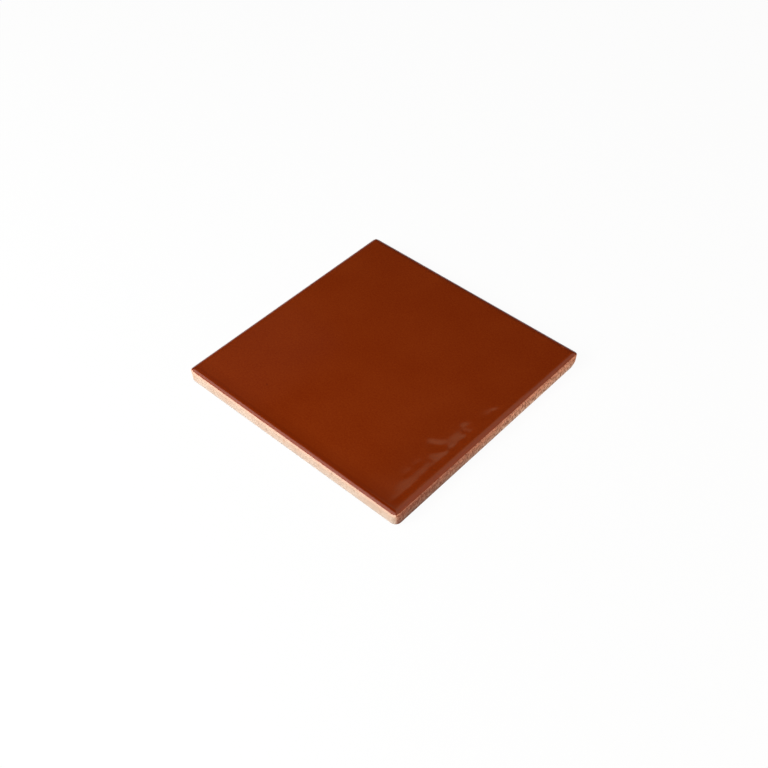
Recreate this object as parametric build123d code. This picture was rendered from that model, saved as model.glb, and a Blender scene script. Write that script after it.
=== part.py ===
from build123d import *
import math
import os

# Sizes that set the whole tile, in millimetres and degrees
SIDE = 150.0            # plan size across the arris, the widest line of the piece
THICKNESS = 8.2         # from the ribs of the back to the flat of the face
RIM_WIDTH = 4.0         # how far in from the arris the face starts to roll over
ROLL_TURN = 30.0        # slope the roll has reached when it comes to the arris
ARRIS_RADIUS = 0.5      # softening of the line where the face meets the sides
SIDE_DRAFT = 1.0        # lean of each side, inwards towards the back
FACE_CORNER = 3.1       # plan radius of the four corners at the height of the face
BACK_FLAT_CORNER = 2.4  # plan radius of the corners of the flat back
BACK_EDGE = 1.5         # radius of the edge that runs round the back
KEY_COUNT = 6           # key pockets along each side of the back
KEY_MARGIN = 8.0        # plain border between the pockets and the sides
KEY_RIB = 3.0           # width of the ribs between neighbouring pockets
KEY_DEPTH = 0.6         # depth of the pockets
KEY_DRAFT = 30.0        # lean of the pocket walls, so that the press can let go

# Angles of the rolled rim and the heights they give
arris_turn = (ROLL_TURN + 90) / 2
roll_sine = math.sin(math.radians(ROLL_TURN))
roll_cosine = math.cos(math.radians(ROLL_TURN))
arris_sine = math.sin(math.radians(arris_turn))
arris_cosine = math.cos(math.radians(arris_turn))
roll_radius = (RIM_WIDTH - ARRIS_RADIUS * (arris_sine - roll_sine)) / roll_sine
rim_drop = roll_radius * (1 - roll_cosine) + ARRIS_RADIUS * (roll_cosine - arris_cosine)
arris_height = THICKNESS - rim_drop

# Widths of the leaning sides at the back and at the height of the face
lean = math.tan(math.radians(SIDE_DRAFT))
back_side = SIDE - 2 * arris_height * lean
face_side = SIDE + 2 * rim_drop * lean
back_corner = BACK_FLAT_CORNER + BACK_EDGE

# Pressed body: the sides lean in to the back and the corners open out on the way down
with BuildPart() as body:
    with BuildSketch(Plane.XY):
        RectangleRounded(back_side, back_side, back_corner)
    with BuildSketch(Plane.XY.offset(THICKNESS)):
        RectangleRounded(face_side, face_side, FACE_CORNER)
    loft(ruled=True)
    fillet(body.edges().group_by(Axis.Z)[0], BACK_EDGE)

# Section of the face: flat, a shallow roll, a tighter turn at the arris, then clear of the sides
with BuildSketch(Plane.XZ) as cushion:
    with BuildLine():
        flat = Line((0, THICKNESS), (SIDE / 2 - RIM_WIDTH, THICKNESS))
        roll = JernArc(flat @ 1, flat % 1, roll_radius, -ROLL_TURN)
        turn = JernArc(roll @ 1, roll % 1, ARRIS_RADIUS, ROLL_TURN - arris_turn)
        clear = Line(turn @ 1, turn @ 1 + (turn % 1) * THICKNESS)
        wall = Line(clear @ 1, clear @ 1 - Vector(0, THICKNESS))
        base = Polyline(wall @ 1, (0, (wall @ 1).Y), flat @ 0)
    make_face()
    mirror(about=Plane.YZ)

# The same section cuts the body both ways, so the rolled rims meet in mitres at the corners
across = extrude(cushion.sketch, amount=SIDE, both=True)
along = across.rotate(Axis.Z, 90)
blank = body.part & across & along

# Keyed back: a grid of shallow pockets between ribs that carry the tile
key_field = back_side - 2 * KEY_MARGIN
key_pitch = (key_field + KEY_RIB) / KEY_COUNT
key_side = key_pitch - KEY_RIB
key_corner = KEY_RIB / 2 + KEY_DEPTH * math.tan(math.radians(KEY_DRAFT))
with BuildPart() as keys:
    with BuildSketch(Plane.XY):
        with GridLocations(key_pitch, key_pitch, KEY_COUNT, KEY_COUNT):
            RectangleRounded(key_side, key_side, key_corner)
    extrude(amount=KEY_DEPTH, taper=KEY_DRAFT)

tile = blank - keys.part
tile.label = "tile"

os.makedirs("parts", exist_ok=True)
export_step(tile, "parts/tile.step")
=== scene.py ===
"""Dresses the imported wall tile: one fired piece with a glossy glazed face and bare clay sides and back."""

import logging
import math
from dataclasses import dataclass, field
from enum import Enum
from typing import Any

import bmesh
import bpy
from mathutils import Matrix, Vector, noise


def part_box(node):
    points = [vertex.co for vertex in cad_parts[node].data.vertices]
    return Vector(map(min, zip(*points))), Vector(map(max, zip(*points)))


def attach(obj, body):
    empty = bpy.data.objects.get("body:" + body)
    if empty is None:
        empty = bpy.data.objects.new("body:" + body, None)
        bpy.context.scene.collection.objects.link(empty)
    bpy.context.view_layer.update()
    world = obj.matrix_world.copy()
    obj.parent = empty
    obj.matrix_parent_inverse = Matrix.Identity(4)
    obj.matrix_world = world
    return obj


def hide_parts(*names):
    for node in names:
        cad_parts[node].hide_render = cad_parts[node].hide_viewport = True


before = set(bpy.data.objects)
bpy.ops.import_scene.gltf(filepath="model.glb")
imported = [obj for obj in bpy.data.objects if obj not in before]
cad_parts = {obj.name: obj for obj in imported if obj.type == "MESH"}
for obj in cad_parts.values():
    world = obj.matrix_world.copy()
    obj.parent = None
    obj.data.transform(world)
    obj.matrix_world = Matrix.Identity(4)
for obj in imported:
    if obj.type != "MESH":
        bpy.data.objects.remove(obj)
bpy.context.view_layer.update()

MM = 0.001
NODE = "tile"
LOG = logging.getLogger("tile")
MASKS = ("starved", "thinned", "pooled", "grain_and_shade_tint", "arris_light", "foot", "front_shade")
WHITE = (1.0, 1.0, 1.0, 1.0)
# Share of the net's half width from which a place counts as its edge
NET_EDGE = 0.9999


class Coat(Enum):
    """Which finish a face of the tile wears, as the index of its material."""

    GLAZE = 0
    CLAY = 1


class Zone(Enum):
    """The parts of the section, from the middle of the face round to the back."""

    FIELD = "flat of the face"
    ROLL = "rolled rim under glaze"
    BEAD = "edge of the glaze"
    LIP = "bare arris"
    SIDE = "leaning side"
    BACK_EDGE = "rounded edge of the back"


def linear(hex_colour: str) -> tuple[float, float, float, float]:
    """Turns an sRGB hex colour into linear light.

    Args:
        hex_colour: six hex digits after a hash sign.

    Returns:
        Linear red, green and blue with an alpha of one.
    """
    channels = [int(hex_colour[start:start + 2], 16) / 255 for start in (1, 3, 5)]
    red, green, blue = (
        value / 12.92 if value <= 0.04045 else ((value + 0.055) / 1.055) ** 2.4 for value in channels
    )
    return red, green, blue, 1.0


def per_size(millimetres: float) -> float:
    """Texture scale at which one cycle of a pattern is this long."""
    return 1.0 / (millimetres * MM)


def add_node(tree: bpy.types.NodeTree, kind: str, inputs: dict[Any, Any] | None = None,
             **settings: Any) -> bpy.types.Node:
    """Adds one node, sets it up and links it.

    Args:
        tree: node tree of a material or of the world.
        kind: Blender's name for the node type.
        inputs: input name or index to a plain value, or to the socket that feeds it.
        settings: properties of the node itself.

    Returns:
        The new node.
    """
    node = tree.nodes.new(kind)
    for name, value in settings.items():
        setattr(node, name, value)
    for key, value in (inputs or {}).items():
        if isinstance(value, bpy.types.NodeSocket):
            tree.links.new(value, node.inputs[key])
        else:
            node.inputs[key].default_value = value
    return node


def blank_tree(owner: bpy.types.Material | bpy.types.World) -> bpy.types.NodeTree:
    """Turns on the nodes of a material or of the world.

    Args:
        owner: what the nodes belong to.

    Returns:
        Its node tree, emptied.
    """
    owner.use_nodes = True
    owner.node_tree.nodes.clear()
    return owner.node_tree


def add_object(name: str, data: bpy.types.ID) -> bpy.types.Object:
    """Puts a new object in the scene.

    Args:
        name: what it is called.
        data: its mesh, light or camera.

    Returns:
        The object, at the origin.
    """
    thing = bpy.data.objects.new(name, data)
    bpy.context.scene.collection.objects.link(thing)
    return thing


def add_mesh(name: str, shape: bmesh.types.BMesh) -> bpy.types.Object:
    """Turns a finished shape into an object of the scene.

    Args:
        name: what it is called.
        shape: the shape, which is used up.

    Returns:
        The object, at the origin.
    """
    mesh = bpy.data.meshes.new(name)
    shape.to_mesh(mesh)
    shape.free()
    return add_object(name, mesh)


def smooth_step(low: float, high: float, value: float) -> float:
    """Rises smoothly from zero at low to one at high."""
    share = min(max((value - low) / (high - low), 0.0), 1.0)
    return share * share * (3 - 2 * share)


@dataclass(frozen=True)
class Fade:
    """A smooth change between two places.

    Attributes:
        start: where there is none of it yet.
        end: where it is complete.
        share: how much there is then.
    """

    start: float
    end: float
    share: float = 1.0

    def at(self, place: float) -> float:
        """How much of the change is reached at a place."""
        return self.share * smooth_step(self.start, self.end, place)


@dataclass(frozen=True)
class FlawOrHighlight:
    """A small spot painted on the glaze, in millimetres. It serves both for a dark flaw and for a painted
    highlight.

    Attributes:
        place: where it is on the face.
        reach: half its size across and along the face.
        tint: its colour.
        strength: how far it hides the glaze.
    """

    place: tuple[float, float]
    reach: tuple[float, float]
    tint: str
    strength: float


@dataclass(frozen=True)
class FiredGlaze:
    """Iron red gloss glaze, melted on in the kiln.

    It gives a deep, even, red-brown colour under a glassy and slightly wavy skin.
    """

    deep: str = "#722100"
    body: str = "#822F06"
    pool: str = "#6B1F00"
    thin: str = "#87350D"
    burnt: str = "#72290C"
    gloss_roughness: float = 0.12
    starved_roughness: float = 0.5
    gloss_spread: tuple[float, float] = (0.8, 1.25)
    gloss_levels: tuple[float, float] = (0.3, 0.7)
    tone_levels: tuple[float, float] = (0.42, 0.93)
    cloud_mm: float = 26.0
    cloud_weight: float = 0.35
    # The real specks are finer, and are drawn at this size so that they show
    speck_mm: float = 0.9
    peel_mm: float = 2.4
    peel_depth: float = 0.004
    peel_strength: float = 0.35
    # Share of a spot's reach that has its full tint
    spot_core: float = 0.5
    flaws_and_highlight: tuple[FlawOrHighlight, ...] = (
        FlawOrHighlight((-34.8, -54.9), (0.4, 0.4), "#3E1405", 0.8),
        # Painted highlight: a pale spot on the rim near the right corner, where a small nick catches the
        # light
        FlawOrHighlight((65.7, 72.8), (1.6, 0.6), "#A3552F", 0.8),
    )

    def material(self) -> bpy.types.Material:
        """Builds the glaze.

        Returns:
            The material, which reads the mesh's pooled, thinned and starved attributes.
        """
        material = bpy.data.materials.new("Iron red gloss glaze, fired on")
        tree = blank_tree(material)
        place = add_node(tree, "ShaderNodeTexCoord").outputs["Object"]
        cloud = add_node(tree, "ShaderNodeTexNoise", {
            "Vector": place, "Scale": per_size(self.cloud_mm), "Detail": 3.0, "Roughness": 0.55})
        speck = add_node(tree, "ShaderNodeTexNoise", {
            "Vector": place, "Scale": per_size(self.speck_mm), "Detail": 2.0, "Roughness": 0.6})
        blend = add_node(tree, "ShaderNodeMath", {
            0: cloud.outputs["Fac"], 1: self.cloud_weight, 2: speck.outputs["Fac"]},
            operation="MULTIPLY_ADD")
        tone = add_node(tree, "ShaderNodeMapRange", {
            "Value": blend.outputs[0], "From Min": self.tone_levels[0], "From Max": self.tone_levels[1]})
        even = add_node(tree, "ShaderNodeMix", {
            "Factor": tone.outputs[0], "A": linear(self.deep), "B": linear(self.body)}, data_type="RGBA")
        pool = add_node(tree, "ShaderNodeAttribute", attribute_name="pooled").outputs["Fac"]
        thick = add_node(tree, "ShaderNodeMix", {
            "Factor": pool, "A": even.outputs["Result"], "B": linear(self.pool)}, data_type="RGBA")
        rim = add_node(tree, "ShaderNodeAttribute", attribute_name="thinned").outputs["Fac"]
        drained = add_node(tree, "ShaderNodeMix", {
            "Factor": rim, "A": thick.outputs["Result"], "B": linear(self.thin)}, data_type="RGBA")
        starved = add_node(tree, "ShaderNodeAttribute", attribute_name="starved").outputs["Fac"]
        colour = add_node(tree, "ShaderNodeMix", {
            "Factor": starved, "A": drained.outputs["Result"], "B": linear(self.burnt)},
            data_type="RGBA")
        # Spots painted into the colour: a dark flaw, and a pale painted highlight on the rim near the right
        # corner
        for flaw_or_highlight in self.flaws_and_highlight:
            scale = [per_size(reach) for reach in flaw_or_highlight.reach]
            shift = [-spot * MM * size for spot, size in zip(flaw_or_highlight.place, scale)]
            centred = add_node(tree, "ShaderNodeMapping", {
                "Vector": place, "Location": (*shift, 0.0), "Scale": (*scale, 0.0)})
            away = add_node(tree, "ShaderNodeVectorMath", {0: centred.outputs[0]}, operation="LENGTH")
            mask = add_node(tree, "ShaderNodeMapRange", {
                "Value": away.outputs["Value"], "From Min": self.spot_core, "From Max": 1.0,
                "To Min": flaw_or_highlight.strength, "To Max": 0.0})
            colour = add_node(tree, "ShaderNodeMix", {
                "Factor": mask.outputs[0], "A": colour.outputs["Result"], "B": linear(flaw_or_highlight.tint)},
                data_type="RGBA")
        gloss = add_node(tree, "ShaderNodeMapRange", {
            "Value": cloud.outputs["Fac"], "From Min": self.gloss_levels[0],
            "From Max": self.gloss_levels[1], "To Min": self.gloss_roughness * self.gloss_spread[0],
            "To Max": self.gloss_roughness * self.gloss_spread[1]})
        dulled = add_node(tree, "ShaderNodeMath", {
            0: starved, 1: self.starved_roughness, 2: gloss.outputs[0]}, operation="MULTIPLY_ADD")
        peel = add_node(tree, "ShaderNodeTexNoise", {
            "Vector": place, "Scale": per_size(self.peel_mm), "Detail": 1.0, "Roughness": 0.4})
        skin = add_node(tree, "ShaderNodeBump", {
            "Height": peel.outputs["Fac"], "Strength": self.peel_strength,
            "Distance": self.peel_depth * MM})
        shader = add_node(tree, "ShaderNodeBsdfPrincipled", {
            "Base Color": colour.outputs["Result"], "Roughness": dulled.outputs[0], "IOR": 1.5,
            "Normal": skin.outputs[0]})
        add_node(tree, "ShaderNodeOutputMaterial", {"Surface": shader.outputs[0]})
        return material


@dataclass(frozen=True)
class PressedClay:
    """Dry-pressed and fired red clay.

    It looks matt and sandy. Its colour carries painted light and shade: pale and greyish on the smooth,
    brightly lit front-left side, redder on the front-right side, where its grain is open and which lies in
    shade, paler along the arris, paler and greyer towards the foot, dark in the hollows of the grain, and
    darker towards the front end of the front-right side.
    """

    # Tones of the front-left side, pale and greyish: painted light, for the bright light on that side
    lit_side_pale: str = "#C5AB97"
    smooth: str = "#BC9D88"
    # Tones of the front-right side, redder: painted shade; its lighter crest tone is painted light on the
    # grains
    shaded_side_lit_crest: str = "#EBB597"
    shaded_side_body: str = "#D18C6E"
    # Paler tones along the arris at the top of the sides: painted light
    lit_side_arris_light: str = "#D9B098"
    shaded_side_arris_light: str = "#DC906F"
    # Dark tone in the hollows of the grain: painted shade in the pores
    pore_shade: str = "#7E4A36"
    # Darker tones at the front end of the front-right side, deepest at its foot: painted shade
    front_shade_tone: str = "#8C5340"
    foot_shade: str = "#7A4B3C"
    # Paler, greyer tones towards the foot: painted light
    shaded_side_foot_light: str = "#E8D4C2"
    lit_side_foot_light: str = "#B8ADA3"
    tan: str = "#B58A6C"
    iron: str = "#7A4C33"
    matt_roughness: float = 0.9
    roughness_spread: float = 0.05
    # The real grains and sand are finer, and are drawn at these sizes so that they show
    grain_mm: float = 1.1
    fine_mm: float = 0.5
    grain_height: float = 0.4
    fine_height: float = 0.06
    fine_strength: float = 0.6
    tone_levels: tuple[float, float] = (0.35, 0.65)
    cloud_mm: float = 9.0
    patch_mm: float = 1.8
    speck_mm: float = 4.0
    drag_stretch: float = 0.5
    drag_slant: float = 22.0
    scuff_stretch: float = 0.4
    crest_levels: tuple[float, float] = (0.45, 0.6)
    hollow_levels: tuple[float, float] = (0.52, 0.38)
    smooth_hollows: float = 0.08
    front_shade_on_crests: float = 0.76
    shaded_side_foot_share: tuple[float, float] = (0.5, 0.9)
    lit_side_foot_share: float = 0.4
    tan_levels: tuple[float, float] = (0.57, 0.72)
    tan_share: float = 0.5
    speck_reach: tuple[float, float] = (0.06, 0.15)
    speck_share: float = 0.45

    def material(self) -> bpy.types.Material:
        """Builds the clay.

        Returns:
            The material, which reads the mesh's masks for the side split, which also sets the grain, for the
            painted light along the arris, for the foot and for the painted shade at the front end of the
            front-right side.
        """
        material = bpy.data.materials.new("Red earthenware body, pressed and fired")
        tree = blank_tree(material)
        place = add_node(tree, "ShaderNodeTexCoord").outputs["Object"]
        rough_shaded_side = add_node(tree, "ShaderNodeAttribute", attribute_name="grain_and_shade_tint").outputs["Fac"]
        slanted = add_node(tree, "ShaderNodeMapping", {
            "Vector": place, "Rotation": (math.radians(self.drag_slant), 0.0, 0.0)})
        drawn = add_node(tree, "ShaderNodeMapping", {
            "Vector": slanted.outputs[0], "Scale": (1.0, 1.0, self.drag_stretch)})
        upright = add_node(tree, "ShaderNodeMapping", {
            "Vector": place, "Scale": (1.0, 1.0, self.scuff_stretch)})
        grain = add_node(tree, "ShaderNodeTexNoise", {
            "Vector": drawn.outputs[0], "Scale": per_size(self.grain_mm), "Detail": 5.0,
            "Roughness": 0.72})
        fine = add_node(tree, "ShaderNodeTexNoise", {
            "Vector": place, "Scale": per_size(self.fine_mm), "Detail": 2.0, "Roughness": 0.6})
        cloud = add_node(tree, "ShaderNodeTexNoise", {
            "Vector": place, "Scale": per_size(self.cloud_mm), "Detail": 3.0, "Roughness": 0.6})
        tone = add_node(tree, "ShaderNodeMapRange", {
            "Value": cloud.outputs["Fac"], "From Min": self.tone_levels[0],
            "From Max": self.tone_levels[1]})
        lit_side_tone = add_node(tree, "ShaderNodeMix", {
            "Factor": tone.outputs[0], "A": linear(self.smooth), "B": linear(self.lit_side_pale)},
            data_type="RGBA")
        # The grain's crests, painted lighter on the front-right side: painted light
        crests = add_node(tree, "ShaderNodeMapRange", {
            "Value": grain.outputs["Fac"], "From Min": self.crest_levels[0],
            "From Max": self.crest_levels[1]})
        shaded_side_tone = add_node(tree, "ShaderNodeMix", {
            "Factor": crests.outputs[0], "A": linear(self.shaded_side_body), "B": linear(self.shaded_side_lit_crest)},
            data_type="RGBA")
        # Painted light and shade: the side split gives the front-right side its redder shaded tone and the
        # front-left side its pale lit tone
        side = add_node(tree, "ShaderNodeMix", {
            "Factor": rough_shaded_side, "A": lit_side_tone.outputs["Result"], "B": shaded_side_tone.outputs["Result"]},
            data_type="RGBA")
        patch = add_node(tree, "ShaderNodeTexNoise", {
            "Vector": upright.outputs[0], "Scale": per_size(self.patch_mm), "Detail": 2.0})
        tanned = add_node(tree, "ShaderNodeMapRange", {
            "Value": patch.outputs["Fac"], "From Min": self.tan_levels[0],
            "From Max": self.tan_levels[1], "To Max": self.tan_share})
        mottled = add_node(tree, "ShaderNodeMix", {
            "Factor": tanned.outputs[0], "A": side.outputs["Result"], "B": linear(self.tan)},
            data_type="RGBA")
        # Painted light: the top of the sides is painted paler along the arris
        arris = add_node(tree, "ShaderNodeMix", {
            "Factor": rough_shaded_side, "A": linear(self.lit_side_arris_light), "B": linear(self.shaded_side_arris_light)},
            data_type="RGBA")
        arris_light = add_node(tree, "ShaderNodeAttribute", attribute_name="arris_light").outputs["Fac"]
        arris_lit = add_node(tree, "ShaderNodeMix", {
            "Factor": arris_light, "A": mottled.outputs["Result"], "B": arris.outputs["Result"]},
            data_type="RGBA")
        # Painted shade: the front-right side is painted darker towards its front end, less on the grain's
        # crests
        front_shade_amount = add_node(tree, "ShaderNodeAttribute", attribute_name="front_shade").outputs["Fac"]
        shade_by_crest = add_node(tree, "ShaderNodeMapRange", {
            "Value": crests.outputs[0], "To Min": 1.0, "To Max": self.front_shade_on_crests})
        front_shade_share = add_node(tree, "ShaderNodeMath", {0: front_shade_amount, 1: shade_by_crest.outputs[0]}, operation="MULTIPLY")
        front_shaded = add_node(tree, "ShaderNodeMix", {
            "Factor": front_shade_share.outputs[0], "A": arris_lit.outputs["Result"], "B": linear(self.front_shade_tone)},
            data_type="RGBA")
        # Painted light: the clay is painted paler and greyer towards the foot, most on the front-right
        # side's crests
        crest_foot_light = add_node(tree, "ShaderNodeMapRange", {
            "Value": crests.outputs[0], "To Min": self.shaded_side_foot_share[0], "To Max": self.shaded_side_foot_share[1]})
        foot_light_share = add_node(tree, "ShaderNodeMapRange", {
            "Value": rough_shaded_side, "To Min": self.lit_side_foot_share, "To Max": crest_foot_light.outputs[0]})
        foot = add_node(tree, "ShaderNodeAttribute", attribute_name="foot").outputs["Fac"]
        foot_light_amount = add_node(tree, "ShaderNodeMath", {0: foot, 1: foot_light_share.outputs[0]}, operation="MULTIPLY")
        foot_light_tone = add_node(tree, "ShaderNodeMix", {
            "Factor": rough_shaded_side, "A": linear(self.lit_side_foot_light), "B": linear(self.shaded_side_foot_light)},
            data_type="RGBA")
        foot_lit = add_node(tree, "ShaderNodeMix", {
            "Factor": foot_light_amount.outputs[0], "A": front_shaded.outputs["Result"], "B": foot_light_tone.outputs["Result"]},
            data_type="RGBA")
        # Painted shade: darker still at the foot of that front end
        foot_shade_share = add_node(tree, "ShaderNodeMath", {0: foot, 1: front_shade_amount}, operation="MULTIPLY")
        foot_shaded = add_node(tree, "ShaderNodeMix", {
            "Factor": foot_shade_share.outputs[0], "A": foot_lit.outputs["Result"], "B": linear(self.foot_shade)},
            data_type="RGBA")
        # Painted shade: the hollows of the grain are painted dark, fully on the front-right side and faintly
        # on the front-left
        hollow = add_node(tree, "ShaderNodeMapRange", {
            "Value": grain.outputs["Fac"], "From Min": self.hollow_levels[0],
            "From Max": self.hollow_levels[1]})
        hold = add_node(tree, "ShaderNodeMapRange", {
            "Value": rough_shaded_side, "To Min": self.smooth_hollows, "To Max": 1.0})
        pore_shade_share = add_node(tree, "ShaderNodeMath", {
            0: hollow.outputs[0], 1: hold.outputs[0]}, operation="MULTIPLY")
        pore_shaded = add_node(tree, "ShaderNodeMix", {
            "Factor": pore_shade_share.outputs[0], "A": foot_shaded.outputs["Result"], "B": linear(self.pore_shade)},
            data_type="RGBA")
        cell = add_node(tree, "ShaderNodeTexVoronoi", {
            "Vector": upright.outputs[0], "Scale": per_size(self.speck_mm)}, feature="F1")
        speck = add_node(tree, "ShaderNodeMapRange", {
            "Value": cell.outputs["Distance"], "From Min": self.speck_reach[0],
            "From Max": self.speck_reach[1], "To Min": self.speck_share, "To Max": 0.0})
        colour = add_node(tree, "ShaderNodeMix", {
            "Factor": speck.outputs[0], "A": pore_shaded.outputs["Result"], "B": linear(self.iron)},
            data_type="RGBA")
        rough = add_node(tree, "ShaderNodeMapRange", {
            "Value": fine.outputs["Fac"], "To Min": self.matt_roughness - self.roughness_spread,
            "To Max": self.matt_roughness + self.roughness_spread})
        sand = add_node(tree, "ShaderNodeBump", {
            "Height": fine.outputs["Fac"], "Strength": self.fine_strength,
            "Distance": self.fine_height * MM})
        relief = add_node(tree, "ShaderNodeBump", {
            "Height": grain.outputs["Fac"], "Strength": hold.outputs[0],
            "Distance": self.grain_height * MM, "Normal": sand.outputs[0]})
        shader = add_node(tree, "ShaderNodeBsdfPrincipled", {
            "Base Color": colour.outputs["Result"], "Roughness": rough.outputs[0], "IOR": 1.45,
            "Specular IOR Level": 0.25, "Normal": relief.outputs[0]})
        add_node(tree, "ShaderNodeOutputMaterial", {"Surface": shader.outputs[0]})
        return material


@dataclass(frozen=True)
class StudioPaper:
    """Seamless white background paper: matt, almost textureless, so that only the soft shadow shows."""

    sheet: str = "#F1F0EE"
    fibre: str = "#EAE9E6"
    fibre_mm: float = 14.0
    background_share: float = 0.95

    def material(self) -> bpy.types.Material:
        """Builds the paper.

        Returns:
            The material: lit paper, lifted towards white where it is seen as the background.
        """
        material = bpy.data.materials.new("White background paper, uncoated")
        tree = blank_tree(material)
        place = add_node(tree, "ShaderNodeTexCoord").outputs["Object"]
        fibre = add_node(tree, "ShaderNodeTexNoise", {
            "Vector": place, "Scale": per_size(self.fibre_mm), "Detail": 3.0})
        tone = add_node(tree, "ShaderNodeMix", {
            "Factor": fibre.outputs["Fac"], "A": linear(self.sheet), "B": linear(self.fibre)},
            data_type="RGBA")
        paper = add_node(tree, "ShaderNodeBsdfDiffuse", {"Color": tone.outputs["Result"]})
        white = add_node(tree, "ShaderNodeEmission", {"Color": WHITE, "Strength": 1.0})
        path = add_node(tree, "ShaderNodeLightPath")
        seen = add_node(tree, "ShaderNodeMath", {
            0: path.outputs["Is Camera Ray"], 1: path.outputs["Is Glossy Ray"]}, operation="MAXIMUM")
        clear = add_node(tree, "ShaderNodeMath", {
            0: seen.outputs[0], 1: path.outputs["Is Transmission Ray"]}, operation="MAXIMUM")
        share = add_node(tree, "ShaderNodeMath", {
            0: clear.outputs[0], 1: self.background_share}, operation="MULTIPLY")
        shader = add_node(tree, "ShaderNodeMixShader", {
            0: share.outputs[0], 1: paper.outputs[0], 2: white.outputs[0]})
        add_node(tree, "ShaderNodeOutputMaterial", {"Surface": shader.outputs[0]})
        return material


@dataclass(frozen=True)
class Station:
    """One ring of the tile's skin, in millimetres.

    Attributes:
        zone: part of the section that the ring belongs to.
        inset: how far in from the arris it lies.
        height: its height over the back.
        trim: inset of the rounded outline that cuts its corners.
        corner: plan radius of that outline.
    """

    zone: Zone
    inset: float
    height: float
    trim: float
    corner: float

    @property
    def coat(self) -> Coat:
        """Finish of the band of skin that ends at this ring."""
        return Coat.GLAZE if self.zone in (Zone.FIELD, Zone.ROLL, Zone.BEAD) else Coat.CLAY


@dataclass(frozen=True)
class Ripple:
    """A shallow wave in the glaze, in millimetres and degrees.

    Attributes:
        start: how far down its own line the fall begins.
        end: how far down it is deepest.
        level: how far down the face is level again.
        middle: place of the line, to its left.
        reach: half its width.
        tip: slope of the fall.
        skew: how far it shifts to the left for each millimetre down the line.
        spread: how much its reach grows for each millimetre down the line.
        heading: the way that the line runs, turned to the left from straight at the front-right edge.
        soft_start: length over which the fall sets in.
    """

    start: float
    end: float
    level: float
    middle: float
    reach: float
    tip: float
    skew: float = 0.0
    spread: float = 0.0
    heading: float = 0.0
    soft_start: float = 1.2

    def sink(self, x: float, y: float) -> float:
        """Finds the depth of the wave under one point of the face.

        Args:
            x: place across the face.
            y: place along the face.

        Returns:
            Depth in millimetres.
        """
        turn = math.radians(self.heading)
        down = x * math.cos(turn) + y * math.sin(turn)
        left = y * math.cos(turn) - x * math.sin(turn)
        reach = self.reach + self.spread * max(down - self.start, 0.0)
        away = (left - self.middle - self.skew * (down - self.start)) / reach
        run = min(down, self.end) - self.start
        fall = (run + math.hypot(run, self.soft_start)) / 2
        rise = smooth_step(self.level, self.end, down)
        return math.tan(math.radians(self.tip)) * fall * rise * math.exp(-away ** 4)


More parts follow.
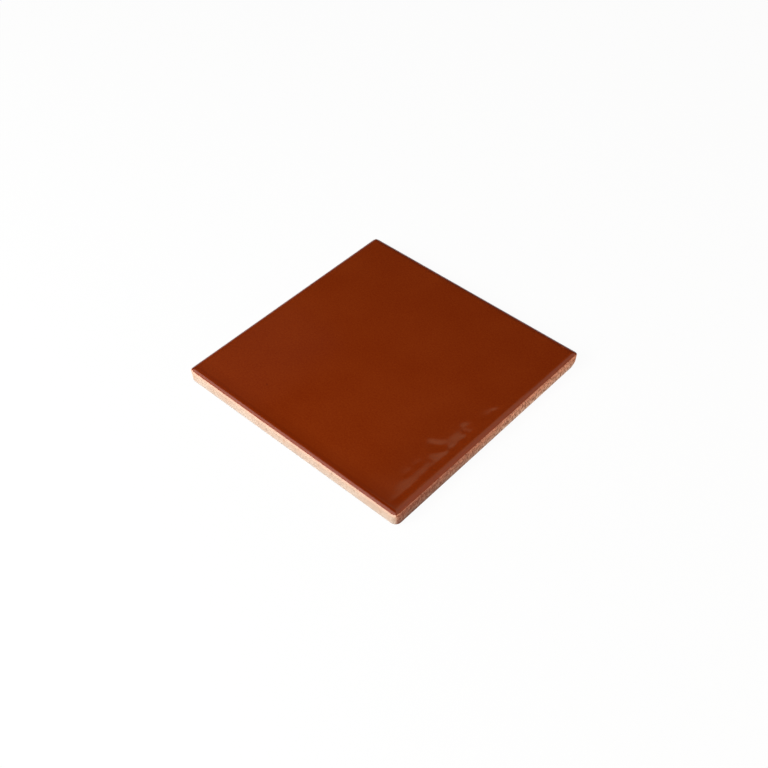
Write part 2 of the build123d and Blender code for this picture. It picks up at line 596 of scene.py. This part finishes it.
@dataclass
class TileSection:
    """Section of the tile from the flat of its face round to its back, in millimetres and degrees."""

    half: float
    thickness: float
    rim_width: float = 4.0
    roll_turn: float = 30.0
    arris_radius: float = 0.5
    side_draft: float = 1.0
    face_corner: float = 3.1
    back_flat_corner: float = 2.4
    back_edge: float = 1.5
    glaze_step: float = 0.1
    clay_clearance: float = 0.03
    lip_depth: float = 0.12
    field_margin: float = 0.6
    roll_rings: int = 9
    bead_rings: int = 3
    lip_rings: int = 5
    side_rings: int = 13
    edge_rings: int = 5

    @property
    def arris_turn(self) -> float:
        """Slope at which the skin leaves the rolled rim for the side."""
        return (self.roll_turn + 90) / 2

    @property
    def roll_radius(self) -> float:
        """Radius of the rolled rim."""
        turn, end = math.radians(self.roll_turn), math.radians(self.arris_turn)
        return (self.rim_width - self.arris_radius * (math.sin(end) - math.sin(turn))) / math.sin(turn)

    @property
    def arris_height(self) -> float:
        """Height of the widest line of the tile."""
        _, height = self.on_rim(self.arris_turn)
        return height

    @property
    def lean(self) -> float:
        """Inset gained for each millimetre down the side."""
        return math.tan(math.radians(self.side_draft))

    def on_rim(self, turn: float, below: float = 0.0) -> tuple[float, float]:
        """Finds a point of the rim by the slope of the skin there.

        Args:
            turn: slope in degrees, zero on the flat of the face.
            below: how deep under the skin the point lies.

        Returns:
            Inset from the arris and height over the back.
        """
        slope, roll = math.radians(turn), math.radians(min(turn, self.roll_turn))
        inset = self.rim_width - self.roll_radius * math.sin(roll)
        inset -= self.arris_radius * (math.sin(slope) - math.sin(roll))
        height = self.thickness - self.roll_radius * (1 - math.cos(roll))
        height -= self.arris_radius * (math.cos(roll) - math.cos(slope))
        return inset + below * math.sin(slope), height - below * math.cos(slope)

    def turn_at(self, inset: float) -> float:
        """Finds the slope of the rim.

        Args:
            inset: how far in from the arris.

        Returns:
            Slope in degrees, zero on the flat of the face.
        """
        roll_end, _ = self.on_rim(self.roll_turn)
        if inset >= roll_end:
            return math.degrees(math.asin((self.rim_width - inset) / self.roll_radius))
        sine = math.sin(math.radians(self.roll_turn)) + (roll_end - inset) / self.arris_radius
        return min(math.degrees(math.asin(sine)), self.arris_turn)

    def corner_at(self, height: float) -> float:
        """Plan radius of the tile's corners, which open out towards the back."""
        back = self.back_flat_corner + self.back_edge
        return self.face_corner + (back - self.face_corner) * (1 - height / self.thickness)

    def stations(self, glaze_inset: float) -> list[Station]:
        """Lists the rings of the skin.

        Args:
            glaze_inset: how far in from the arris the glaze ends.

        Returns:
            Rings from the edge of the flat to the edge of the back.
        """
        field_inset = self.rim_width + self.field_margin
        rings = [Station(Zone.FIELD, field_inset, self.thickness, 0.0, self.face_corner)]
        glaze_turn = self.turn_at(glaze_inset)
        for ring in range(self.roll_rings + 1):
            inset, height = self.on_rim(glaze_turn * ring / self.roll_rings)
            rings.append(Station(Zone.ROLL, inset, height, 0.0, self.corner_at(height)))
        bead_width = min(self.glaze_step, glaze_inset / 2)
        for ring in range(1, self.bead_rings + 1):
            share = ring / self.bead_rings
            turn = self.turn_at(glaze_inset - bead_width * share)
            inset, height = self.on_rim(turn, bead_width * share ** 2)
            trim = self.clay_clearance * share
            rings.append(Station(Zone.BEAD, inset, height, trim, self.corner_at(height)))
        for ring in range(1, self.lip_rings + 1):
            share = ring / self.lip_rings
            turn = self.turn_at((glaze_inset - bead_width) * (1 - share))
            inset, height = self.on_rim(turn, bead_width + (self.clay_clearance - bead_width) * share)
            rings.append(Station(Zone.LIP, inset, height, self.clay_clearance, self.corner_at(height)))
        top = self.arris_height - self.lip_depth
        for ring in range(self.side_rings + 1):
            height = top + (self.back_edge - top) * ring / self.side_rings
            inset = self.clay_clearance + self.lean * (self.arris_height - height)
            rings.append(Station(Zone.SIDE, inset, height, inset, self.corner_at(height)))
        side_inset, side_corner = rings[-1].inset, rings[-1].corner
        for ring in range(1, self.edge_rings + 1):
            turn = math.radians(90 * ring / self.edge_rings)
            gone = self.back_edge * (1 - math.cos(turn))
            height = self.back_edge * (1 - math.sin(turn))
            inset = side_inset + gone
            rings.append(Station(Zone.BACK_EDGE, inset, height, inset, side_corner - gone))
        return rings


@dataclass
class GlazedTile:
    """The fired tile: a glazed face over a pressed clay body with a keyed back.

    Sizes are in millimetres and angles in degrees.
    The front-left side faces along minus Y and the front-right side along plus X.
    """

    section: TileSection
    glaze: FiredGlaze = field(default_factory=FiredGlaze)
    clay: PressedClay = field(default_factory=PressedClay)
    # Fineness of the skin, and the turn from which an edge of it looks sharp
    field_cells: int = 160
    rim_split: int = 2
    sharp_turn: float = 38.0
    # Unevenness of the fired glaze, which dies out towards the rim
    swell_mm: float = 34.0
    swell_depth: float = 0.03
    ripple_mm: float = 12.0
    ripple_depth: float = 0.01
    ripples_from: float = 50.0
    ripple_unevenness: float = 0.3
    ripple_uneven_mm: float = 4.0
    level_rim: Fade = Fade(0.8, 4.5)
    # Width of the bare clay between the arris and the edge of the glaze
    front_left_bare: float = 0.82
    front_right_bare: tuple[float, float] = (1.1, 0.85)
    back_bare: float = 0.06
    least_bare: float = 0.02
    bare_blend: float = 1.5
    front_hold: float = 4.0
    back_hold: float = 1.0
    corner_bare: Fade = Fade(3.2, 0.0, 0.5)
    edge_wobble: float = 0.05
    edge_wobble_mm: float = 9.0
    wobble_fineness: float = 2.7
    wobble_fine_share: float = 0.5
    # Where the glaze has gathered, by the distance from the front-left and front-right edges
    pool_broad: Fade = Fade(12.5, 6.5, 0.35)
    pool_close: Fade = Fade(5.6, 4.2, 0.5)
    pool_end: Fade = Fade(1.2, 2.2)
    pool_from_left: Fade = Fade(110.0, 20.0)
    pool_from_right: Fade = Fade(45.0, 6.0, 0.35)
    # Where the glaze has drained or burnt away, by the inset from the arris
    thin_front_left: Fade = Fade(2.5, 2.0, 0.6)
    thin_right_broad: Fade = Fade(4.4, 3.0, 0.2)
    thin_right_close: Fade = Fade(2.4, 0.9, 0.6)
    starved: Fade = Fade(0.7, 0.15)
    bead_starved: float = 0.2
    # Grain of the clay, which is most open on the front-right side; the same split paints that side in its
    # redder shade tone and the front-left side in its pale, brightly lit tone
    grain_mm: float = 1.0
    grain_depth: float = 0.06
    grain_stretch: float = 0.3
    grain_level: float = 0.4
    grain_coarse: float = 0.6
    grain_fine: float = 0.4
    grain_fineness: float = 2.3
    grain_and_shade_facing: Fade = Fade(0.5, 0.95)
    hidden_grain: float = 0.25
    lip_grain: float = 0.9
    # Marks on the clay: painted light that makes the arris paler and warmer, painted light that makes the
    # foot paler and greyer, painted shade at the front end of the front-right side, and one corner rounded
    # by wear
    arris_light_fade: Fade = Fade(6.4, 7.3)
    foot_light_fade: Fade = Fade(5.5, 1.0)
    front_shade_facing: Fade = Fade(0.6, 0.95)
    front_shade_along: Fade = Fade(30.0, -75.0)
    front_shade_inset: Fade = Fade(0.92, 0.78)
    corner_wear: Fade = Fade(3.2, 0.0, 3.5)
    # Keys of the back
    key_count: int = 6
    key_margin: float = 8.0
    key_rib: float = 3.0
    key_depth: float = 0.6
    key_draft: float = 30.0
    key_corner_steps: int = 3
    ripples: tuple[Ripple, ...] = (
        Ripple(64.6, 67.0, 70.4, -64.5, 4.2, 1.5),
        Ripple(62.0, 67.0, 70.4, -58.5, 4.4, 1.5, spread=0.3),
        Ripple(63.0, 67.0, 70.4, -45.0, 16.5, 2.2),
        Ripple(61.0, 67.0, 70.4, -35.0, 2.3, 2.4, skew=0.3, spread=0.55),
        Ripple(64.6, 67.0, 70.4, -26.5, 5.0, 2.4),
        Ripple(60.8, 67.0, 70.4, -16.6, 8.6, 3.9, spread=0.1),
        Ripple(55.0, 57.6, 66.0, 25.0, 3.6, 3.5, heading=-30.0),
        Ripple(62.6, 66.8, 70.4, 3.8, 5.2, 2.6, skew=0.9),
        Ripple(49.5, 52.8, 60.0, 38.1, 4.7, 4.6, heading=-60.0),
        Ripple(57.8, 60.4, 63.0, -50.5, 3.2, 1.8),
        Ripple(57.8, 60.4, 63.0, -43.0, 3.0, 2.0),
        Ripple(69.6, 72.0, 75.0, -35.0, 34.0, 1.0),
    )

    def build(self) -> bpy.types.Object:
        """Models the tile as one closed skin.

        Returns:
            The tile's object, at the origin.
        """
        skin = bmesh.new()
        layers = {name: skin.verts.layers.float.new(name) for name in MASKS}
        rim = self.lay_out_net(skin)
        self.fold_net(skin, layers)
        self.close_back(skin, rim)
        bmesh.ops.recalc_face_normals(skin, faces=skin.faces[:])
        for face in skin.faces:
            face.smooth = True
        for edge in skin.edges:
            if len(edge.link_faces) == 2 and edge.calc_face_angle() > math.radians(self.sharp_turn):
                edge.smooth = False
        return add_mesh("glazed_tile", skin)

    def lay_out_net(self, skin: bmesh.types.BMesh) -> list[bmesh.types.BMEdge]:
        """Makes the skin's net: the face as a unit grid, with one flat step down for each ring.

        Args:
            skin: empty mesh to work in.

        Returns:
            The net's last open edges.
        """
        bmesh.ops.create_grid(skin, x_segments=self.field_cells, y_segments=self.field_cells, size=1.0)
        border = [edge for edge in skin.edges if edge.is_boundary]
        bmesh.ops.subdivide_edges(skin, edges=border, cuts=self.rim_split - 1)
        border = [edge for edge in skin.edges if edge.is_boundary]
        for ring in self.section.stations(self.front_left_bare)[1:]:
            made = bmesh.ops.extrude_edge_only(skin, edges=border)["geom"]
            below = [part for part in made if isinstance(part, bmesh.types.BMVert)]
            bmesh.ops.translate(skin, verts=below, vec=(0.0, 0.0, -1.0))
            for part in made:
                if isinstance(part, bmesh.types.BMFace):
                    part.material_index = ring.coat.value
            border = [part for part in made if isinstance(part, bmesh.types.BMEdge) and part.is_boundary]
        return border

    def fold_net(self, skin: bmesh.types.BMesh, layers: dict[str, bmesh.types.BMLayerItem]) -> None:
        """Folds the net onto the section and gives it the relief of the real surfaces.

        Args:
            skin: the net.
            layers: receive the masks that the finishes read, by name.
        """
        columns: dict[tuple[float, float], list[Station]] = {}
        for vert in skin.verts:
            column = (round(vert.co.x, 5), round(vert.co.y, 5))
            if column not in columns:
                columns[column] = self.section.stations(self.bare_width(*column))
            ring = columns[column][round(-vert.co.z)]
            x, y, out = self.place_on_ring(vert.co.x, vert.co.y, ring)
            for name, value in self.masks(x, y, out, ring).items():
                vert[layers[name]] = value
            spot = Vector((x, y, ring.height))
            if ring.coat is Coat.GLAZE:
                spot.z -= self.glaze_sink(x, y)
            if ring.zone is Zone.SIDE:
                spot -= out * self.grain_sink(spot)
            vert.co = spot * MM

    def place_on_ring(self, across: float, along: float, ring: Station) -> tuple[float, float, Vector]:
        """Finds where a column of the net meets a ring, with the corners of the ring rounded off.

        Args:
            across: place from one side of the net to the other, from minus one to one.
            along: place the other way.
            ring: ring that the place is on.

        Returns:
            Place across and along the tile, and the way that its side faces there.
        """
        half = self.section.half - ring.inset
        x, y = across * half, along * half
        out_x, out_y = float(abs(across) > NET_EDGE), float(abs(along) > NET_EDGE)
        corner = ring.corner
        if min(x, y) > 0:
            corner += self.corner_wear.at(ring.height)
        straight = self.section.half - ring.trim - corner
        past_x, past_y = abs(x) - straight, abs(y) - straight
        reach = math.hypot(past_x, past_y)
        if min(past_x, past_y) > 0 and reach > corner:
            out_x, out_y = past_x / reach, past_y / reach
            x = math.copysign(straight + corner * out_x, x)
            y = math.copysign(straight + corner * out_y, y)
        return x, y, Vector((math.copysign(out_x, x), math.copysign(out_y, y), 0.0))

    def masks(self, x: float, y: float, out: Vector, ring: Station) -> dict[str, float]:
        """Works out what the finishes have to know of a place on the skin.

        Args:
            x: place across the tile.
            y: place along the tile.
            out: the way that the side faces there.
            ring: ring that the place is on.

        Returns:
            A value from zero to one for each mask, by name.
        """
        # Painted shade on the front-right side, darkest towards its front end
        front_shade_amount = self.front_shade_along.at(y) * self.front_shade_inset.at(ring.inset)
        return {
            "starved": self.bead_starved if ring.zone is Zone.BEAD else self.starved.at(ring.inset),
            "thinned": self.thinning(out, ring),
            "pooled": self.pooling(x, y),
            "grain_and_shade_tint": self.grain_and_shade_tint(out, ring),
            "arris_light": self.arris_light_fade.at(ring.height),
            "foot": self.foot_light_fade.at(ring.height),
            "front_shade": self.front_shade_facing.at(out.x) * front_shade_amount,
        }

    def bare_width(self, across: float, along: float) -> float:
        """Finds how far in from the arris the glaze ends.

        Args:
            across: place from one side of the net to the other, from minus one to one.
            along: place the other way.

        Returns:
            Width of the bare clay seen from above, in millimetres.
        """
        half = self.section.half
        x, y = across * half, along * half
        if max(abs(across), abs(along)) < NET_EDGE:
            return self.front_left_bare
        front_end, right_end = self.front_right_bare
        front_right = front_end + (right_end - front_end) * (along + 1) / 2
        sides = (
            (half + y, self.front_left_bare, self.front_hold),
            (half - x, front_right, self.front_hold),
            (half + x, self.back_bare, self.back_hold),
            (half - y, self.back_bare, self.back_hold),
        )
        weights = [hold * smooth_step(self.bare_blend, 0.0, away) for away, _, hold in sides]
        bare = sum(weight * width for weight, (_, width, _) in zip(weights, sides)) / sum(weights)
        tip = math.hypot(half - abs(x), half + y)
        bare += self.corner_bare.at(tip)
        place = Vector((x, y, 0.0)) / self.edge_wobble_mm
        wobble = noise.noise(place) + self.wobble_fine_share * noise.noise(place * self.wobble_fineness)
        return max(bare + self.edge_wobble * wobble * min(bare, 1.0), self.least_bare)

    def glaze_sink(self, x: float, y: float) -> float:
        """Finds how far the fired glaze lies below its highest level.

        Args:
            x: place across the face.
            y: place along the face.

        Returns:
            Depth in millimetres, never negative.
        """
        place = Vector((x, y, 0.0))
        sink = self.swell_depth * (1 + noise.noise(place / self.swell_mm)) / 2
        sink += self.ripple_depth * (1 + noise.noise(place / self.ripple_mm)) / 2
        if x > self.ripples_from:
            uneven = 1 + self.ripple_unevenness * noise.noise(place / self.ripple_uneven_mm)
            sink += uneven * sum(ripple.sink(x, y) for ripple in self.ripples)
        rim = self.section.half - max(abs(x), abs(y))
        return sink * self.level_rim.at(rim)

    def pooling(self, x: float, y: float) -> float:
        """Finds how thick, and so how deep in colour, the glaze lies.

        Args:
            x: place across the face.
            y: place along the face.

        Returns:
            Zero for an even coat, one where it has gathered most.
        """
        front_left, front_right = self.section.half + y, self.section.half - x
        along = self.pool_broad.at(front_left) + self.pool_close.at(front_left)
        along *= self.pool_end.at(front_left)
        corner = self.pool_from_right.at(front_right) * self.pool_from_left.at(front_left)
        return min(along + corner, 1.0)

    def thinning(self, out: Vector, ring: Station) -> float:
        """Finds how far the glaze has drained off the rim on the two front sides.

        Args:
            out: the way that the rim faces.
            ring: ring that the place is on.

        Returns:
            Zero for a full coat, one where it is thinnest.
        """
        front_left = self.thin_front_left.at(ring.inset) * max(-out.y, 0.0)
        front_right = self.thin_right_broad.at(ring.inset) + self.thin_right_close.at(ring.inset)
        return max(front_left, front_right * max(out.x, 0.0))

    def grain_and_shade_tint(self, out: Vector, ring: Station) -> float:
        """Finds how open the grain of the clay is, and how far its colour takes the painted shade tone of
        the front-right side rather than the painted pale, brightly lit tone of the front-left side.

        Args:
            out: the way that the side faces.
            ring: ring that the place is on.

        Returns:
            One on the front-right side, less on its arris and the hidden sides, zero at the front left.
        """
        hidden = max(-out.x, 0.0) + max(out.y, 0.0)
        openness = min(self.grain_and_shade_facing.at(out.x) + self.hidden_grain * hidden, 1.0)
        return openness * (self.lip_grain if ring.zone is Zone.LIP else 1.0)

    def grain_sink(self, spot: Vector) -> float:
        """Finds how deep the sandy side lies below its highest grains.

        Args:
            spot: place on the side, before it sinks.

        Returns:
            Depth in millimetres.
        """
        place = Vector((spot.x, spot.y, spot.z * self.grain_stretch)) / self.grain_mm
        coarse = self.grain_coarse * noise.noise(place)
        fine = self.grain_fine * noise.noise(place * self.grain_fineness)
        return self.grain_depth * max(self.grain_level + coarse + fine, 0.0)

    def close_back(self, skin: bmesh.types.BMesh, rim: list[bmesh.types.BMEdge]) -> None:
        """Closes the net with the keyed back: ribs round a grid of shallow pockets.

        Args:
            skin: the folded net.
            rim: its last open edges, on the plane of the back.
        """
        section = self.section
        back_half = section.half - section.lean * section.arris_height
        pitch = (2 * (back_half - self.key_margin) + self.key_rib) / self.key_count
        slant = self.key_depth * math.tan(math.radians(self.key_draft))
        old_faces = set(skin.faces)
        grid = bmesh.ops.create_grid(
            skin, x_segments=self.key_count, y_segments=self.key_count,
            size=self.key_count * pitch / 2 * MM)["verts"]
        cells = [face for face in skin.faces if face not in old_faces]
        bmesh.ops.reverse_faces(skin, faces=cells)
        outline = [edge for edge in {edge for vert in grid for edge in vert.link_edges} if edge.is_boundary]
        bmesh.ops.triangle_fill(skin, edges=rim + outline, use_beauty=True, normal=(0.0, 0.0, -1.0))
        bmesh.ops.inset_individual(skin, faces=cells, thickness=self.key_rib / 2 * MM, use_even_offset=True)
        bmesh.ops.inset_individual(
            skin, faces=cells, thickness=slant * MM, depth=-self.key_depth * MM, use_even_offset=True)
        walls = [edge for face in cells for vert in face.verts for edge in vert.link_edges
                 if abs(edge.verts[0].co.z - edge.verts[1].co.z) > self.key_depth * MM / 2]
        bmesh.ops.bevel(
            skin, geom=list(set(walls)), offset=self.key_rib / 2 * MM, offset_type="OFFSET",
            segments=self.key_corner_steps, profile=0.5, affect="EDGES", material=-1)
        for face in skin.faces:
            if face not in old_faces:
                face.material_index = Coat.CLAY.value

    def dress(self, tile: bpy.types.Object) -> None:
        """Gives the tile its two finishes and ties it to the frame.

        Args:
            tile: the tile's object.
        """
        tile.data.materials.append(self.glaze.material())
        tile.data.materials.append(self.clay.material())
        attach(tile, "root")
        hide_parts(NODE)


@dataclass(frozen=True)
class Lamp:
    """A rectangular soft light.

    Attributes:
        name: what it is called.
        place: where its middle is, in metres.
        width: its width in metres.
        length: its length in metres.
        radiance: how bright its face looks, where one is white.
        spin: turn of its width about the line that it shines along, in degrees.
        level: true if it hangs level and shines straight down, false if it faces the tile.
        tint: its colour.
    """

    name: str
    place: tuple[float, float, float]
    width: float
    length: float
    radiance: float
    spin: float = 0.0
    level: bool = False
    tint: str = "#FFFFFF"

    def build(self) -> bpy.types.Object:
        """Sets up the lamp.

        Returns:
            The lamp's object.
        """
        light = bpy.data.lights.new(self.name, "AREA")
        light.shape = "RECTANGLE"
        light.size = self.width
        light.size_y = self.length
        light.energy = self.radiance * math.pi * self.width * self.length
        light.color = linear(self.tint)[:3]
        lamp = add_object(self.name, light)
        turn = Matrix.Rotation(math.radians(self.spin), 4, "Z")
        if not self.level:
            turn = Vector(self.place).to_track_quat("Z", "Y").to_matrix().to_4x4() @ turn
        lamp.matrix_world = Matrix.Translation(self.place) @ turn
        return lamp


@dataclass
class Studio:
    """Floor, room, lamps and camera round the tile.

    Lengths are in metres and angles in degrees. The lens and its sensor are in millimetres.
    """

    paper: StudioPaper = field(default_factory=StudioPaper)
    floor_radius: float = 6.0
    floor_segments: int = 96
    room_level: float = 0.03
    # How high the white wall stands in reflections, as the rise of a line of sight
    wall_top: float = 0.15
    lamps: tuple[Lamp, ...] = (
        Lamp("front_left_softbox", (-0.20, -0.72, 0.46), 0.62, 0.55, 11.2, tint="#F6FAFC"),
        Lamp("overhead_left_panel", (-0.60, -0.29, 1.0), 0.70, 0.47, 2.0, level=True),
        Lamp("overhead_back_panel", (0.255, 0.638, 1.0), 1.15, 0.75, 0.65, spin=62.0, level=True,
             tint="#FFF6E2"),
        Lamp("overhead_back_fringe", (-0.300, 0.551, 1.0), 0.475, 0.15, 0.55, spin=62.0, level=True,
             tint="#FFFBC6"),
        Lamp("right_fill", (0.80, 0.16, 0.20), 0.5, 0.36, 4.7, tint="#FFEADA"),
        Lamp("pale_ceiling", (-1.05, 0.42, 1.0), 0.6, 0.6, 0.04, level=True),
    )
    azimuth: float = 42.535
    elevation: float = 46.407
    roll: float = -0.624
    distance: float = 0.59919
    aim: tuple[float, float, float] = (0.011347, -0.013275, 0.0082)
    lens: float = 52.895
    sensor: float = 36.0

    def build_floor(self) -> bpy.types.Object:
        """Lays the paper floor.

        Returns:
            The floor's object.
        """
        sheet = bmesh.new()
        bmesh.ops.create_circle(sheet, cap_ends=True, segments=self.floor_segments, radius=self.floor_radius)
        floor = add_mesh("paper_floor", sheet)
        floor.data.materials.append(self.paper.material())
        return floor

    def build_room(self) -> None:
        """Sets the dim light of the room, white to the eye and, low down, in the gloss of the glaze."""
        world = bpy.data.worlds.new("dim_room")
        tree = blank_tree(world)
        way = add_node(tree, "ShaderNodeTexCoord").outputs["Generated"]
        rise = add_node(tree, "ShaderNodeSeparateXYZ", {0: way}).outputs["Z"]
        low = add_node(tree, "ShaderNodeMapRange", {
            "Value": rise, "From Min": 0.0, "From Max": self.wall_top, "To Min": 1.0, "To Max": 0.0})
        path = add_node(tree, "ShaderNodeLightPath")
        mirrored = add_node(tree, "ShaderNodeMath", {
            0: path.outputs["Is Glossy Ray"], 1: path.outputs["Is Transmission Ray"]}, operation="MAXIMUM")
        wall = add_node(tree, "ShaderNodeMath", {
            0: mirrored.outputs[0], 1: low.outputs[0]}, operation="MULTIPLY")
        seen = add_node(tree, "ShaderNodeMath", {
            0: path.outputs["Is Camera Ray"], 1: wall.outputs[0]}, operation="MAXIMUM")
        level = add_node(tree, "ShaderNodeMapRange", {
            "Value": seen.outputs[0], "To Min": self.room_level})
        room = add_node(tree, "ShaderNodeBackground", {"Color": WHITE, "Strength": level.outputs[0]})
        add_node(tree, "ShaderNodeOutputWorld", {"Surface": room.outputs[0]})
        bpy.context.scene.world = world

    def build_camera(self) -> bpy.types.Object:
        """Places the camera where the photograph was taken from.

        Returns:
            The camera's object.
        """
        side, rise, tilt = (math.radians(angle) for angle in (self.azimuth, self.elevation, self.roll))
        back = Vector((math.sin(side) * math.cos(rise), -math.cos(side) * math.cos(rise), math.sin(rise)))
        right = Vector((math.cos(side), math.sin(side), 0.0))
        up = back.cross(right)
        turned_right = right * math.cos(tilt) + up * math.sin(tilt)
        turned_up = up * math.cos(tilt) - right * math.sin(tilt)
        camera = add_object("camera", bpy.data.cameras.new("camera"))
        camera.data.lens = self.lens
        camera.data.sensor_width = self.sensor
        turn = Matrix((turned_right, turned_up, back)).transposed().to_4x4()
        camera.matrix_world = Matrix.Translation(Vector(self.aim) + back * self.distance) @ turn
        bpy.context.scene.camera = camera
        return camera

    def build(self) -> None:
        """Builds the whole studio."""
        self.build_floor()
        self.build_room()
        for lamp in self.lamps:
            lamp.build()
        self.build_camera()
        bpy.context.scene.view_settings.view_transform = "Standard"


def main() -> None:
    """Builds the tile, dresses it and sets up the studio."""
    logging.basicConfig(level=logging.INFO, format="%(name)s: %(message)s")
    low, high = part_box(NODE)
    section = TileSection(half=(high.x - low.x) / 2 / MM, thickness=(high.z - low.z) / MM)
    tile = GlazedTile(section)
    piece = tile.build()
    tile.dress(piece)
    piece.data.calc_loop_triangles()
    LOG.info("%s: %d triangles", piece.name, len(piece.data.loop_triangles))
    Studio().build()


if __name__ == "__main__":
    main()
